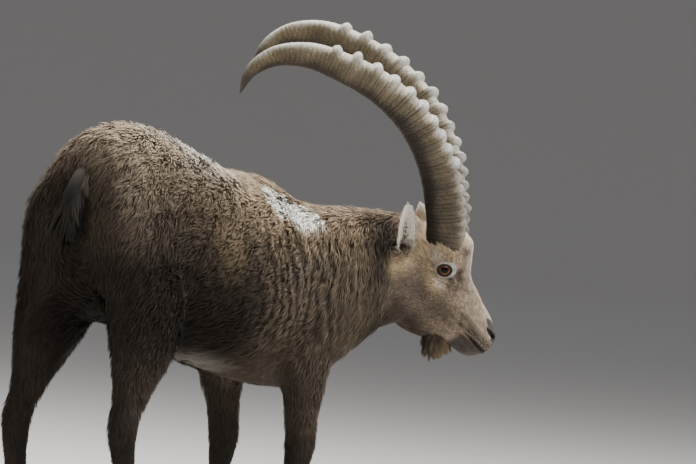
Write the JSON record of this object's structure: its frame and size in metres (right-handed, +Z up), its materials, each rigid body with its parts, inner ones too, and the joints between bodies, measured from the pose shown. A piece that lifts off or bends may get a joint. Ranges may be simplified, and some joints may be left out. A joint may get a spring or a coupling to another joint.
{
  "type": "alpine ibex",
  "caption": "Life-size still model of an adult male alpine ibex, standing with lowered head turned to its right, with long knobbed horns and a winter coat.",
  "frame": {"origin": "centre of the model's box on the floor, under the chest and belly", "axes": "+X forward along the trunk, +Y to the animal's left, +Z up"},
  "size_m": [1.0564, 0.5724, 1.1733],
  "materials": {
    "coat": "dense matte grey-brown winter coat",
    "dark_coat": "matte dark brown hair",
    "face_hair": "short matte face hair",
    "ear_hair": "pale short ear hair",
    "horn": "ridged horn, satin, worn pale on the knobs",
    "hoof": "dark satin hoof horn",
    "eye": "wet gloss"
  },
  "bodies": {
    "root": {"barrel": "coat", "beard": "dark_coat", "chest": "coat", "claw_fore_left_left": "hoof", "claw_fore_left_right": "hoof", "claw_fore_right_left": "hoof", "claw_fore_right_right": "hoof", "claw_hind_left_left": "hoof", "claw_hind_left_right": "hoof", "claw_hind_right_left": "hoof", "claw_hind_right_right": "hoof", "dewclaw_fore_left_left": "hoof", "dewclaw_fore_left_right": "hoof", "dewclaw_fore_right_left": "hoof", "dewclaw_fore_right_right": "hoof", "dewclaw_hind_left_left": "hoof", "dewclaw_hind_left_right": "hoof", "dewclaw_hind_right_left": "hoof", "dewclaw_hind_right_right": "hoof", "ear_left": "ear_hair", "ear_right": "ear_hair", "eye_left": "eye", "eye_right": "eye", "fore_shank_left": "dark_coat", "fore_shank_right": "dark_coat", "forearm_left": "dark_coat", "forearm_right": "dark_coat", "gaskin_left": "dark_coat", "gaskin_right": "dark_coat", "head": "face_hair", "hind_shank_left": "dark_coat", "hind_shank_right": "dark_coat", "horn_left": "horn", "horn_right": "horn", "neck": "coat", "rump": "coat", "tail": "dark_coat"}
  },
  "joints": []
}
